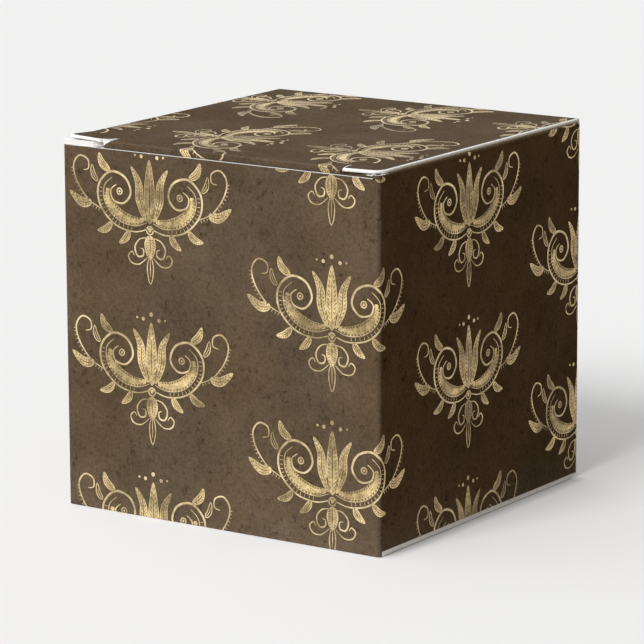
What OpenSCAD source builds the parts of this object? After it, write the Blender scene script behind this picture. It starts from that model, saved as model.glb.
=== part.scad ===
// Favor box: a small cube carton, die-cut from one sheet of card and folded.
// Reverse tuck ends with slit locks: the lid folds from the back wall and tucks in
// behind the front wall, the bottom folds from the front wall and tucks in behind the back.
// Origin at the middle of the bottom face, front wall towards -Y, +Z up. Millimetres.

/* [Box] */
// Width outside, left to right
box_w = 50.8; // [40:0.1:90]
// Depth outside, front to back
box_d = 50.8; // [40:0.1:90]
// Height outside, bottom face to lid
box_h = 50.8; // [40:0.1:120]

/* [Card] */
// Thickness of the card
card_t = 0.4; // [0.3:0.05:0.6]
// Outside radius of the upright corner folds
fold_r = 0.55; // [0.5:0.05:0.9]
// Space between cards that slide past each other
fit_gap = 0.1; // [0.05:0.01:0.15]
// Space between a fold's round bead and the flap that turns on it
crease_gap = 0.05; // [0.03:0.01:0.08]
// How much thinner the scored crease is pressed on each side
crease_press = 0.02; // [0.01:0.01:0.04]

/* [Lid and bottom] */
// How far each side edge of the lid lies inside the wall's outer face
lid_inset = 0.3; // [0.1:0.05:0.6]
// How far each corner tab's front edge lies inside the front wall's outer face
tab_inset = 0.1; // [0.05:0.05:0.3]
// Upward curl of the lid's left corner tab, degrees
tab_curl_left = 5; // [0:0.5:15]
// Upward curl of the lid's right corner tab, degrees
tab_curl_right = 0; // [0:0.5:15]
// Radius of a corner tab's outer corner
tab_corner_r = 1.8; // [0.3:0.1:2.5]
// How far a corner tab's front edge slopes back towards its outer corner
tab_slope = 0.7; // [0:0.1:1.5]

/* [Slit lock] */
// Length of each slit along the tuck's fold
slit_len = 6.4; // [4:0.1:10]
// How far the slit hooks back into the panel
hook_len = 2.6; // [1.5:0.1:4]
// How far the hook leans towards the middle
hook_lean = 0.6; // [0:0.1:1]
// Width of the cut
kerf = 0.15; // [0.1:0.05:0.3]
// How much further back a tab's curl starts at the side edge than at the hook
curl_slant = 2; // [1:0.5:4]

/* [Tuck] */
// Length of the tuck from its fold
tuck_len = 11.5; // [8:0.5:13]
// How far each end of the tuck lies inside the wall's outer face
tuck_inset = 1.3; // [1:0.1:2]
// How far each end slopes in from its top to its tip
tuck_taper = 1.2; // [0.5:0.1:3]
// Radius of the tuck's free corners
tuck_corner_r = 5; // [2:0.5:7]
// Lean of the closed tuck away from the wall it slides behind, degrees
tuck_lean = 12; // [12:0.5:16]

/* [Dust flaps] */
// Space left between the tips of a pair of dust flaps
tip_space = 6.4; // [3:0.1:20]
// Slope of the edge nearest the panel's fold, degrees
flap_slope = 16; // [16:0.5:20]
// Setback of the edge nearest the tuck from the wall's inner face
flap_setback = 1.7; // [1.6:0.1:2.5]
// Width of the root shoulder beside the tuck
shoulder_w = 0.6; // [0.3:0.1:0.6]
// Bevel across the corner nearest the tuck
flap_bevel = 6; // [3:0.5:8]
// Radius of the free corners
flap_corner_r = 2.5; // [1:0.5:3]

/* [Glue seam] */
// Width of the glue flap
glue_w = 12; // [8:0.5:14]
// How much each end of the glue flap slopes in
glue_taper = 4; // [2:0.5:6]
// Distance of the glue flap's ends from the box's ends
glue_end = 2; // [1.5:0.1:4]
// Thickness of the dried glue
glue_t = 0.08; // [0.05:0.01:0.1]
// Margin of bare card round the glue
glue_margin = 1.5; // [1:0.1:3]

/* [Hidden] */

print_brown = "#5d4b39";
inside_white = "#f2efe9";
glue_tone = "#e6dfc8";

half_w = box_w / 2;
half_d = box_d / 2;
half_card = card_t / 2;

// Places of the folds that turn, each on the middle of the card.
// The lid's fold is on the back wall, and the tuck's fold is on the lid's front edge.
lid_axis_y = half_d - half_card;
lid_axis_z = box_h - half_card;
tuck_axis_y = -half_d + card_t + fit_gap + half_card;
// The dust flaps lie under the lid, so their folds are one card lower.
flap_axis_x = half_w - half_card;
flap_drop = card_t + fit_gap + half_card;
flap_axis_z = box_h - flap_drop;
// The round bead of a crease, and the flap's root that starts clear of it.
bead_r = half_card - crease_press;
root_gap = half_card + crease_gap;
// The free edge of the wall that a tuck slides behind, below the dust flaps.
free_drop = 2 * card_t + 1.5 * fit_gap;

// Corner tabs of the lid and bottom.
slit_x = half_w - slit_len;
panel_half = half_w - lid_inset;
tab_front_y = -half_d + tab_inset;
hook_y = tuck_axis_y + hook_len;
curl_y = hook_y + curl_slant;
tab_inner_r = 3 * kerf;

// The tuck's root and its free ends beside the slits, as distances from its fold.
tuck_half = half_w - tuck_inset;
tuck_root = (root_gap + half_card * sin(tuck_lean)) / cos(tuck_lean);
tuck_end_top = (card_t + half_card + 2 * fit_gap + half_card * sin(tuck_lean)) / cos(tuck_lean);
tuck_relief_r = half_card;

// Dust flap outline: each flap reaches to half the tip space from the middle.
flap_len = flap_axis_x - tip_space / 2;
flap_front_y = -half_d + card_t + flap_setback;
shoulder_y = -half_d + card_t + 2 * fit_gap;
flap_back_y = half_d - 2 * fold_r;
flap_tip_x = tip_space / 2;

// Glue seam, inside the left wall at the back corner.
glue_face_x = -half_w + card_t + glue_t;

// Smoothness of the rounded outlines and of the round beads.
corner_steps = 8;
fold_steps = 5;
bead_fn = 48;

// Each upright fold is shared by two walls, half to each.
fold_half_angle = 45;

// Outlines

// Points of the arc of radius r that rounds corner b between its neighbours a and c.
function corner_arc(a, b, c, r) =
    let (
        u = (a - b) / norm(a - b),
        v = (c - b) / norm(c - b),
        half = acos(u * v) / 2,
        centre = b + (u + v) / norm(u + v) * r / sin(half),
        from = b + u * r / tan(half) - centre,
        to = b + v * r / tan(half) - centre,
        start = atan2(from.y, from.x),
        turn = atan2(from.x * to.y - from.y * to.x, from * to)
    )
    [for (i = [0:corner_steps])
        let (angle = start + turn * i / corner_steps)
        centre + r * [cos(angle), sin(angle)]];

// Points of an arc about the origin, from one angle to another.
function arc_points(r, start, end) =
    [for (i = [0:fold_steps])
        let (angle = start + (end - start) * i / fold_steps)
        r * [cos(angle), sin(angle)]];

// An outline whose corners have the given radii, where 0 leaves a corner sharp.
function rounded(points, radii) =
    let (n = len(points))
    [for (i = [0:n - 1]) each radii[i] > 0
        ? corner_arc(points[(i + n - 1) % n], points[i], points[(i + 1) % n], radii[i])
        : [points[i]]];

// The same outline on the other side of the middle, in the reverse order.
function mirrored(points) = [for (i = [len(points) - 1:-1:0]) [-points[i].x, points[i].y]];
function reversed(values) = [for (i = [len(values) - 1:-1:0]) values[i]];

// Shared shapes

// The bottom closure is the top one turned half over, front to back.
module turned_over() {
    translate([0, 0, box_h])
        rotate([180, 0, 0])
            children();
}

// Round bead of a fold that runs along X, centred on the middle.
module bead_x(length, y, z) {
    translate([-length / 2, y, z])
        rotate([0, 90, 0])
            cylinder(h = length, r = bead_r, $fn = bead_fn);
}

// Round bead of a fold that runs along Y, centred on the middle.
module bead_y(length, x, z) {
    translate([x, length / 2, z])
        rotate([90, 0, 0])
            cylinder(h = length, r = bead_r, $fn = bead_fn);
}

// One half of an upright corner fold: an eighth of a turn of card about its centre.
module half_fold(x, y, z_low, z_high, start) {
    end = start + fold_half_angle;
    translate([x, y, z_low])
        linear_extrude(z_high - z_low)
            polygon(concat(arc_points(fold_r, start, end), arc_points(fold_r - card_t, end, start)));
}

// A wall along X that carries a closure panel at its foot and ends free at its head.
// Its left fold may lie further in, where the glue flap turns.
module panel_wall(left_face_x) {
    fold_low = flap_drop;
    head = box_h - free_drop;
    left_x = left_face_x + fold_r;
    right_x = half_w - fold_r;
    translate([left_x, -half_d, half_card])
        cube([right_x - left_x, card_t, head - half_card]);
    translate([(left_x + right_x) / 2, 0, 0])
        bead_x(right_x - left_x, -half_d + half_card, half_card);
    half_fold(left_x, -half_d + fold_r, fold_low, head, 225);
    half_fold(right_x, -half_d + fold_r, fold_low, head, 270);
}

// A wall along Y that carries a dust flap at its head and its foot, on the right side.
// It ends in a fold at the front, and at the back in a fold or in a raw edge.
module flap_wall(raw_back) {
    back_y = raw_back ? half_d : half_d - fold_r;
    front_y = -half_d + fold_r;
    bead_len = box_d - 2 * fold_r;
    translate([half_w - card_t, front_y, flap_drop])
        cube([card_t, back_y - front_y, flap_axis_z - flap_drop]);
    bead_y(bead_len, flap_axis_x, flap_axis_z);
    bead_y(bead_len, flap_axis_x, flap_drop);
    half_fold(half_w - fold_r, front_y, flap_drop, flap_axis_z, 315);
    if (!raw_back)
        half_fold(half_w - fold_r, half_d - fold_r, flap_drop, flap_axis_z, 0);
}

// Closure panel: the lid, or turned over, the bottom. Its two corner tabs are cut free of
// the tuck's fold by the slits, and can curl up about a slanting line behind each slit.
module closure_panel(curl_left, curl_right) {
    hook = [slit_x - hook_lean, hook_y];
    side = [panel_half, curl_y];
    right_edge = [
        [slit_x - kerf, tuck_axis_y],
        [slit_x - kerf - hook_lean, hook_y],
        hook,
        side,
        [panel_half, lid_axis_y - root_gap]
    ];
    translate([0, 0, box_h - card_t])
        linear_extrude(card_t)
            polygon(concat(right_edge, mirrored(right_edge)));
    bead_x(2 * (slit_x - kerf), tuck_axis_y, lid_axis_z);
    corner_tab(hook, side, curl_right);
    mirror([1, 0, 0])
        corner_tab(hook, side, curl_left);
}

// The right corner tab, turned up about the line from the hook's end to the side edge.
module corner_tab(hook, side, curl) {
    outline = rounded(
        [hook, [slit_x, tab_front_y], [panel_half, tab_front_y + tab_slope], side],
        [0, tab_inner_r, tab_corner_r, 0]
    );
    translate([hook.x, hook.y, box_h - card_t])
        rotate(a = -curl, v = [side.x - hook.x, side.y - hook.y, 0])
            translate([-hook.x, -hook.y, 0])
                linear_extrude(card_t)
                    polygon(outline);
}

// Tuck of a closure panel: its middle turns on the panel's bead, and its ends, cut free
// by the slits, stand just below the dust flaps.
module closure_tuck() {
    right_edge = [
        [slit_x - kerf, -tuck_root],
        [slit_x - kerf, -tuck_end_top],
        [tuck_half, -tuck_end_top],
        [tuck_half - tuck_taper, -tuck_len]
    ];
    radii = [0, tuck_relief_r, tuck_relief_r, tuck_corner_r];
    outline = rounded(concat(right_edge, mirrored(right_edge)), concat(radii, reversed(radii)));
    translate([0, tuck_axis_y, lid_axis_z])
        rotate([90 + tuck_lean, 0, 0])
            translate([0, 0, -half_card])
                linear_extrude(card_t)
                    polygon(outline);
}

// Right dust flap: straight beside the tuck with a bevelled corner, and sloped on the edge
// nearest the panel's fold, so that the rising panel always stays above it.
module dust_flap() {
    root_x = flap_axis_x - root_gap;
    shoulder_x = root_x - shoulder_w;
    tip_back_y = flap_back_y - flap_len * tan(flap_slope);
    outline = rounded(
        [
            [root_x, flap_back_y],
            [root_x, shoulder_y],
            [shoulder_x, shoulder_y],
            [shoulder_x, flap_front_y],
            [flap_tip_x + flap_bevel, flap_front_y],
            [flap_tip_x, flap_front_y + flap_bevel],
            [flap_tip_x, tip_back_y]
        ],
        [0, 0, 0, 0, flap_corner_r, flap_corner_r, flap_corner_r]
    );
    translate([0, 0, flap_axis_z - half_card])
        linear_extrude(card_t)
            polygon(outline);
}

// A plate of card against a side wall, from points given as depth and height.
module side_plate(x, thickness, points) {
    translate([x, 0, 0])
        rotate([90, 0, 90])
            linear_extrude(thickness)
                polygon(points);
}

// Walls

// Front wall: the bottom folds from its foot, and its head is a raw edge under the lid.
module front_wall() {
    color(print_brown)
        panel_wall(-half_w);
}

// Right wall, with a corner fold at both ends.
module right_wall() {
    color(print_brown)
        flap_wall(false);
}

// Back wall: the lid folds from its head. Its left end turns in to the glue flap.
module back_wall() {
    color(print_brown)
        turned_over()
            panel_wall(glue_face_x);
}

// Left wall: the last panel of the strip, whose raw back edge covers the glue flap's fold.
module left_wall() {
    color(print_brown)
        mirror([1, 0, 0])
            flap_wall(true);
}

// Glue flap: turns in from the back wall and lies against the inside of the left wall.
module glue_flap() {
    start_y = half_d - fold_r;
    end_y = start_y - glue_w;
    color(inside_white) {
        side_plate(glue_face_x, card_t, [
            [start_y, glue_end],
            [end_y, glue_end + glue_taper],
            [end_y, box_h - glue_end - glue_taper],
            [start_y, box_h - glue_end]
        ]);
        half_fold(glue_face_x + fold_r, start_y, glue_end, box_h - glue_end, 135);
    }
}

// Glue line: the thin layer of dried glue that holds the flap to the left wall.
module glue_line() {
    start_y = half_d - fold_r - glue_margin;
    end_y = half_d - fold_r - glue_w + glue_margin;
    low = glue_end + glue_taper + glue_margin;
    color(glue_tone)
        side_plate(-half_w + card_t, glue_t, [
            [start_y, low],
            [end_y, low],
            [end_y, box_h - low],
            [start_y, box_h - low]
        ]);
}

// Top closure

// Lid: folds from the back wall, its left corner tab curled up a little.
module lid() {
    color(print_brown)
        closure_panel(tab_curl_left, tab_curl_right);
}

// Lid tuck: slides down behind the front wall.
module lid_tuck() {
    color(print_brown)
        closure_tuck();
}

// Dust flaps under the lid, folded from the side walls.
module top_dust_flap_right() {
    color(inside_white)
        dust_flap();
}

module top_dust_flap_left() {
    color(inside_white)
        mirror([1, 0, 0])
            dust_flap();
}

// Bottom closure

// Bottom: folds from the front wall and lies flat on the table.
module bottom_panel() {
    color(print_brown)
        turned_over()
            closure_panel(0, 0);
}

// Bottom tuck: slides up behind the back wall.
module bottom_tuck() {
    color(print_brown)
        turned_over()
            closure_tuck();
}

// Dust flaps above the bottom, folded from the side walls.
module bottom_dust_flap_right() {
    color(inside_white)
        turned_over()
            dust_flap();
}

module bottom_dust_flap_left() {
    color(inside_white)
        turned_over()
            mirror([1, 0, 0])
                dust_flap();
}

front_wall();
right_wall();
back_wall();
left_wall();
glue_flap();
glue_line();
lid();
lid_tuck();
top_dust_flap_left();
top_dust_flap_right();
bottom_panel();
bottom_tuck();
bottom_dust_flap_left();
bottom_dust_flap_right();
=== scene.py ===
"""Favor box: a printed card cube with reverse tuck ends and slit locks, standing on a pale floor."""

import math

import bpy
from mathutils import Matrix, Vector
from mathutils.geometry import interpolate_bezier


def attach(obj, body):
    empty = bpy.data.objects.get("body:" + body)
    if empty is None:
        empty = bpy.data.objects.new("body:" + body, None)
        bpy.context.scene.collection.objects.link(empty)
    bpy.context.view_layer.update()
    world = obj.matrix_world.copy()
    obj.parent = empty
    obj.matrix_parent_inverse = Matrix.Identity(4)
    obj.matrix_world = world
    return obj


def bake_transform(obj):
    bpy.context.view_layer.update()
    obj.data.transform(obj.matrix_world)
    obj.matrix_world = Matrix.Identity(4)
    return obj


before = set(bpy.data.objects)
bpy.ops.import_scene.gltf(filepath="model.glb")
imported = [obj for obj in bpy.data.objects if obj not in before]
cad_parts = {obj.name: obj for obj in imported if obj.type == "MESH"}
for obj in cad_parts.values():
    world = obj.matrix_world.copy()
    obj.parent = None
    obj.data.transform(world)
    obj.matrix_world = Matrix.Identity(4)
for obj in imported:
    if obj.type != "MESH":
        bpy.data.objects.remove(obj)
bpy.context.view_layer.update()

# Sizes of the box, as in the part's source
MM = 0.001
CARD = 0.4 * MM
HALF_CARD = CARD / 2
HALF_BOX = 25.4 * MM
BOX_HEIGHT = 50.8 * MM
CORNER_R = 0.55 * MM
FOLD_AXIS = HALF_BOX - HALF_CARD
LID_FOLD_Z = BOX_HEIGHT - HALF_CARD
BOTTOM_FOLD_Z = HALF_CARD
TOP_FLAP_FOLD_Z = 50.1 * MM
BOTTOM_FLAP_FOLD_Z = 0.7 * MM
TUCK_FOLD_Y = 24.7 * MM
TUCK_LEAN = math.radians(12)
SLIT_X = 18.85 * MM
LID_HALF = 25.1 * MM
SQUARE = math.radians(90)

# The print lies this much proud of the card
INK = 0.012 * MM

X = Vector((1, 0, 0))
Y = Vector((0, 1, 0))
Z = Vector((0, 0, 1))


# Working with objects

def in_hand():
    """The object that the last step made or worked on."""
    return bpy.context.view_layer.objects.active


def pick(*pieces):
    """Select only these pieces and work on the first."""
    bpy.ops.object.select_all(action="DESELECT")
    for piece in pieces:
        piece.select_set(True)
    bpy.context.view_layer.objects.active = pieces[0]


def join(name, pieces):
    """Make one piece of several."""
    pick(*pieces)
    if len(pieces) > 1:
        bpy.ops.object.join()
    joined = in_hand()
    joined.name = joined.data.name = name
    return joined


def place(piece, where):
    """Move each point of a mesh to where the function puts it."""
    for point in piece.data.vertices:
        point.co = where(point.co)
    piece.data.update()


def reshape(*steps):
    """Edit the whole mesh of the piece in hand, step by step."""
    bpy.ops.object.mode_set(mode="EDIT")
    for step in steps:
        bpy.ops.mesh.select_all(action="SELECT")
        step()
    bpy.ops.object.mode_set(mode="OBJECT")


def outward_faces():
    """Turn the faces of the piece in hand outwards."""
    reshape(bpy.ops.mesh.normals_make_consistent)


def thicken(height):
    """Raise the flat sheet in hand to a solid; a height below zero goes down."""
    reshape(lambda: bpy.ops.mesh.extrude_region_move(TRANSFORM_OT_translate={"value": (0, 0, height)}))


def grid(columns, rows=1):
    """A flat grid of faces, to be shaped point by point."""
    bpy.ops.mesh.primitive_grid_add(x_subdivisions=columns, y_subdivisions=rows)
    return in_hand()


def plate(name, outline, thickness):
    """A plate of card whose outline is given in the XY plane, from z = 0 up."""
    bpy.ops.mesh.primitive_circle_add(vertices=len(outline), radius=1, fill_type="NGON")
    piece = in_hand()
    piece.name = piece.data.name = name
    for point, (x, y) in zip(piece.data.vertices, outline):
        point.co = (x, y, 0)
    thicken(thickness)
    outward_faces()
    return piece


def finish_with(piece, *materials):
    """Give a piece its materials, in this order."""
    piece.data.materials.clear()
    for material in materials:
        piece.data.materials.append(material)


# Building materials

def fill(tree, node, values):
    """Put values into a node's sockets, plain or linked."""
    for name, value in values.items():
        if isinstance(value, bpy.types.NodeSocket):
            tree.links.new(value, node.inputs[name])
        else:
            node.inputs[name].default_value = value


def add(tree, kind, values=None, **settings):
    """Add a shader node; values holds what goes into its sockets."""
    made = tree.nodes.new("ShaderNode" + kind)
    for name, value in settings.items():
        setattr(made, name, value)
    fill(tree, made, values or {})
    return made


def maths(tree, operation, first, second=0.5):
    return add(tree, "Math", {0: first, 1: second}, operation=operation).outputs[0]


def ramp(tree, factor, low, high, from_low=0.0, from_high=1.0):
    """Spread a value from one range to another, held at both ends."""
    values = {"Value": factor, "From Min": from_low, "From Max": from_high, "To Min": low, "To Max": high}
    return add(tree, "MapRange", values).outputs[0]


def scaled(tree, colour, amount):
    return add(tree, "VectorMath", {0: colour, "Scale": amount}, operation="SCALE").outputs[0]


def blend_colour(tree, factor, first, second):
    return add(tree, "Mix", {0: factor, 6: first, 7: second}, data_type="RGBA").outputs[2]


def noise(tree, place_socket, scale, detail=3.0, roughness=0.55, distortion=0.0):
    values = {"Vector": place_socket, "Scale": scale, "Detail": detail,
              "Roughness": roughness, "Distortion": distortion}
    return add(tree, "TexNoise", values).outputs[0]


def group(name, inputs, outputs):
    """A shader node group with a place and other inputs, given with their values."""
    tree = bpy.data.node_groups.new(name, "ShaderNodeTree")
    kinds = {float: "NodeSocketFloat", tuple: "NodeSocketColor", Vector: "NodeSocketVector"}
    for label, value in {"Place": Vector((0, 0, 0)), **inputs}.items():
        socket = tree.interface.new_socket(name=label, in_out="INPUT", socket_type=kinds[type(value)])
        socket.default_value = value
    for label, value in outputs.items():
        tree.interface.new_socket(name=label, in_out="OUTPUT", socket_type=kinds[value])
    return tree, tree.nodes.new("NodeGroupInput").outputs, tree.nodes.new("NodeGroupOutput")


def put_out(tree, end, **sockets):
    for label, socket in sockets.items():
        tree.links.new(socket, end.inputs[label])


def from_group(tree, which, values):
    """Place a shared node group with its values, and give its outputs."""
    made = tree.nodes.new("ShaderNodeGroup")
    made.node_tree = which
    fill(tree, made, values)
    return made.outputs


# How the reddish clouds of the print differ from its plain brown
RUSTY = (1.02, 0.96, 0.88)


def mottled_print():
    """Worn dark brown ground: cloudy tone, darker scuffs and fine grain."""
    tree, given, end = group("mottled print", {"Tone": (0.5, 0.5, 0.5, 1.0), "Scuffs": 0.5},
                             {"Color": tuple, "Roughness": float, "Height": float})
    spot = given["Place"]
    clouds = noise(tree, spot, 110, detail=5, roughness=0.62)
    patches = noise(tree, spot, 1200, detail=4, roughness=0.65, distortion=0.3)
    hue = noise(tree, spot, 70, detail=4, roughness=0.6)
    grain = noise(tree, spot, 3600, detail=3, roughness=0.65)
    lightness = ramp(tree, clouds, 0.82, 1.18, 0.32, 0.68)
    thick = ramp(tree, noise(tree, spot, 240, detail=2), 0.25, 1.0, 0.40, 0.62)
    darker = maths(tree, "MULTIPLY", ramp(tree, patches, 1.0, 0.0, 0.30, 0.46), thick)
    scuffed = maths(tree, "MULTIPLY", darker, given["Scuffs"])
    lightness = maths(tree, "MULTIPLY", lightness, maths(tree, "SUBTRACT", 1.0, scuffed))
    lightness = maths(tree, "MULTIPLY", lightness, ramp(tree, grain, 0.74, 1.26, 0.3, 0.7))
    colour = scaled(tree, given["Tone"], lightness)
    rusty = add(tree, "VectorMath", {0: colour, 1: RUSTY}, operation="MULTIPLY")
    warm = blend_colour(tree, ramp(tree, hue, 0.0, 1.0, 0.38, 0.64), colour, rusty.outputs[0])
    rough = ramp(tree, grain, 0.52, 0.66, 0.3, 0.7)
    put_out(tree, end, Color=warm, Roughness=rough, Height=grain)
    return tree


def card_fibre():
    """White board: soft fibre cloud with a few darker specks."""
    tree, given, end = group("card fibre", {"Tone": (0.8, 0.8, 0.8, 1.0), "Stretch": Vector((1, 1, 1))},
                             {"Color": tuple, "Height": float})
    run = add(tree, "VectorMath", {0: given["Place"], 1: given["Stretch"]}, operation="MULTIPLY")
    felt = noise(tree, run.outputs[0], 1500, detail=5, roughness=0.65)
    cloud = noise(tree, run.outputs[0], 220, detail=2)
    shade = maths(tree, "MULTIPLY", ramp(tree, felt, 0.93, 1.04, 0.3, 0.7),
                  ramp(tree, cloud, 0.97, 1.02, 0.3, 0.7))
    put_out(tree, end, Color=scaled(tree, given["Tone"], shade), Height=felt)
    return tree


MOTTLED_PRINT = mottled_print()
CARD_FIBRE = card_fibre()


def finish_material(name, specular, **settings):
    """A new material, its node tree and its Principled shader."""
    made = bpy.data.materials.new(name)
    made.use_nodes = True
    shader = made.node_tree.nodes["Principled BSDF"]
    fill(made.node_tree, shader, {"Specular IOR Level": specular, **settings})
    return made, made.node_tree, shader


def cover(tree, shader, colour, height, strength, distance=0.02 * MM):
    """Give a shader its colour and its fine relief."""
    relief = add(tree, "Bump", {"Height": height, "Strength": strength, "Distance": distance})
    fill(tree, shader, {"Base Color": colour, "Normal": relief.outputs[0]})


def place_of(tree, attribute=None):
    """Where a point lies on the piece: its object coordinates, or a kept attribute."""
    if attribute:
        return add(tree, "Attribute", attribute_name=attribute).outputs["Vector"]
    return add(tree, "TexCoord").outputs["Object"]


def printed_material(name, attribute=None):
    made, tree, shader = finish_material(name, specular=0.0)
    ground = from_group(tree, MOTTLED_PRINT, {
        "Place": place_of(tree, attribute), "Tone": (0.1135, 0.0825, 0.0535, 1.0), "Scuffs": 0.6})
    tree.links.new(ground["Roughness"], shader.inputs["Roughness"])
    cover(tree, shader, ground["Color"], ground["Height"], 0.12)
    return made


def board_material(name, tone, stretch=(1, 1, 1), attribute=None):
    made, tree, shader = finish_material(name, specular=0.25, Roughness=0.85)
    fibre = from_group(tree, CARD_FIBRE, {
        "Place": place_of(tree, attribute), "Tone": tone, "Stretch": stretch})
    cover(tree, shader, fibre["Color"], fibre["Height"], 0.2)
    return made


def glue_material():
    made, tree, shader = finish_material("dried white glue", specular=0.5, Roughness=0.3)
    streaks = noise(tree, place_of(tree), 260, detail=4, distortion=0.6)
    colour = blend_colour(tree, streaks, (0.66, 0.58, 0.42, 1.0), (0.84, 0.79, 0.66, 1.0))
    cover(tree, shader, colour, streaks, 0.3, 0.03 * MM)
    return made


def worn_gold():
    """Gold ink, lighter and darker in soft patches, as gold leaf is."""
    tree, given, end = group("worn gold", {"Light": (0.8, 0.8, 0.8, 1.0), "Dark": (0.2, 0.2, 0.2, 1.0)},
                             {"Color": tuple, "Height": float})
    patches = noise(tree, given["Place"], 190, detail=4, roughness=0.65)
    fine = noise(tree, given["Place"], 1400, detail=2)
    level = maths(tree, "ADD", ramp(tree, patches, 0.0, 1.0, 0.36, 0.66),
                  ramp(tree, fine, -0.22, 0.22, 0.3, 0.7))
    put_out(tree, end, Color=blend_colour(tree, level, given["Dark"], given["Light"]), Height=fine)
    return tree


WORN_GOLD = worn_gold()

# Lit and worn colour of the gold, drawn in full lines or stippled
LINE_GOLD = (0.98, 0.79, 0.47, 1.0), (0.38, 0.28, 0.14, 1.0)
STIPPLED_GOLD = (0.95, 0.73, 0.36, 1.0), (0.28, 0.21, 0.105, 1.0)
BETWEEN_DOTS = (0.14, 0.095, 0.05, 1.0)
DOTS_PER_METRE = 3100.0


def gold_material(name, attribute=None, stippled=False):
    """Gold ink, in full lines or in dots with brown print between them."""
    made, tree, shader = finish_material(name, specular=0.1, Roughness=0.36, Metallic=0.45)
    spot = place_of(tree, attribute)
    light, dark = STIPPLED_GOLD if stippled else LINE_GOLD
    gold = from_group(tree, WORN_GOLD, {"Place": spot, "Light": light, "Dark": dark})
    colour = gold["Color"]
    if stippled:
        cells = add(tree, "TexVoronoi", {"Vector": spot, "Scale": DOTS_PER_METRE}).outputs["Distance"]
        colour = blend_colour(tree, ramp(tree, cells, 1.0, 0.0, 0.16, 0.30), colour, BETWEEN_DOTS)
    cover(tree, shader, colour, gold["Height"], 0.15)
    return made


KEPT_PLACE = "card_place"
PRINT = printed_material("mottled brown print")
PRINT_ON_CREASE = printed_material("mottled brown print on crease", KEPT_PLACE)
WHITE_INSIDE = board_material("white board inside", (0.80, 0.785, 0.755, 1.0))
RAW_BOARD = (0.90, 0.88, 0.86, 1.0)
RAW_EDGE = board_material("raw board edge", RAW_BOARD, (1, 1, 4))
RAW_ON_CREASE = board_material("raw board at crease", RAW_BOARD, attribute=KEPT_PLACE)
GLUE = glue_material()
GOLD = (gold_material("gold ink"), gold_material("stippled gold ink", stippled=True), PRINT)
GOLD_ON_CREASE = (gold_material("gold ink on crease", KEPT_PLACE),
                  gold_material("stippled gold ink on crease", KEPT_PLACE, stippled=True), PRINT_ON_CREASE)


# Finishes of the solids

# A face belongs to the side whose direction it meets at least this squarely
LOOKS_OUT = 0.6


def dress_card(node, outward):
    """Print on the faces that look outwards, white board inside, raw board on the cut edges."""
    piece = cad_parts[node]
    finish_with(piece, PRINT, RAW_EDGE, WHITE_INSIDE)
    for face in piece.data.polygons:
        facing = face.normal.dot(outward)
        face.material_index = 0 if facing > LOOKS_OUT else 2 if facing < -LOOKS_OUT else 1


for node, outward in {
    "front_wall": -Y, "right_wall": X, "back_wall": Y, "left_wall": -X,
    "lid": Z, "lid_tuck": -Y, "bottom_panel": -Z, "bottom_tuck": Y,
}.items():
    dress_card(node, outward)
for node in ("top_dust_flap_left", "top_dust_flap_right", "bottom_dust_flap_left",
             "bottom_dust_flap_right", "glue_flap"):
    finish_with(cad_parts[node], WHITE_INSIDE)
finish_with(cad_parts["glue_line"], GLUE)


# Creases that turn

CREASE_STEPS = 10
CREASE_INNER = 0.06 * MM
CREASE_LAP = 0.34 * MM
CREASE_OUTER = HALF_CARD + INK
BLEND_PAST = 0.05 * MM


class Crease:
    """The bent card between a panel and the flap that turns on it, in cross-section about its axis."""

    def __init__(self, centre, along, start, end, panel_dir, panel_out, bend):
        self.centre, self.along, self.start, self.end = centre, along, start, end
        self.panel_dir, self.panel_out, self.bend = panel_dir, panel_out, bend

    def out_at(self, angle):
        """Outward direction on the bend, from the panel's side on."""
        return self.panel_out * math.cos(angle) - self.panel_dir * math.sin(angle)

    def flap_dir(self):
        return -self.panel_dir * math.cos(self.bend) - self.panel_out * math.sin(self.bend)

    def section(self):
        """Points round the bend's section, outer side first, each as a vector from the axis."""
        panel_lap, flap_lap = self.panel_dir * CREASE_LAP, self.flap_dir() * CREASE_LAP
        angles = [self.bend * i / CREASE_STEPS for i in range(CREASE_STEPS + 1)]
        outer = [self.out_at(a) * CREASE_OUTER for a in angles]
        inner = [self.out_at(a) * CREASE_INNER for a in reversed(angles)]
        lap_in = HALF_CARD - INK
        flap_root = self.out_at(self.bend) * lap_in
        panel_root = self.out_at(0) * lap_in
        return ([outer[0] + panel_lap] + outer + [outer[-1] + flap_lap, flap_root + flap_lap, flap_root]
                + inner + [panel_root, panel_root + panel_lap])


def crease_piece(name, crease, print_to):
    """The bent card of a crease, printed on its outer side up to an angle of the bend."""
    section = crease.section()
    count = len(section)
    piece = plate(name, [(i, 0) for i in range(count)], 1.0)
    for i, point in enumerate(piece.data.vertices):
        reach = crease.start if i < count else crease.end
        point.co = crease.centre + crease.along * reach + section[i % count]
    piece.data.update()
    pick(piece)
    outward_faces()
    finish_with(piece, PRINT_ON_CREASE, RAW_ON_CREASE)
    for face in piece.data.polygons:
        middle = face.center - crease.centre
        middle -= crease.along * middle.dot(crease.along)
        outer_side = face.normal.dot(middle.normalized()) > LOOKS_OUT and middle.length > HALF_CARD
        angle = math.atan2(-middle.dot(crease.panel_dir), middle.dot(crease.panel_out))
        face.material_index = 0 if outer_side and angle < print_to else 1
    return piece


def bend_with(piece, crease, panel, flap):
    """Keep where a crease piece's print lies, and set its place into its mesh."""
    kept = piece.data.attributes.new(KEPT_PLACE, "FLOAT_VECTOR", "POINT")
    for point, value in zip(piece.data.vertices, kept.data):
        value.vector = point.co
    start = crease.centre + crease.out_at(0) * CREASE_OUTER
    end = crease.centre + crease.out_at(crease.bend) * CREASE_OUTER + crease.flap_dir() * BLEND_PAST
    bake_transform(piece)


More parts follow.
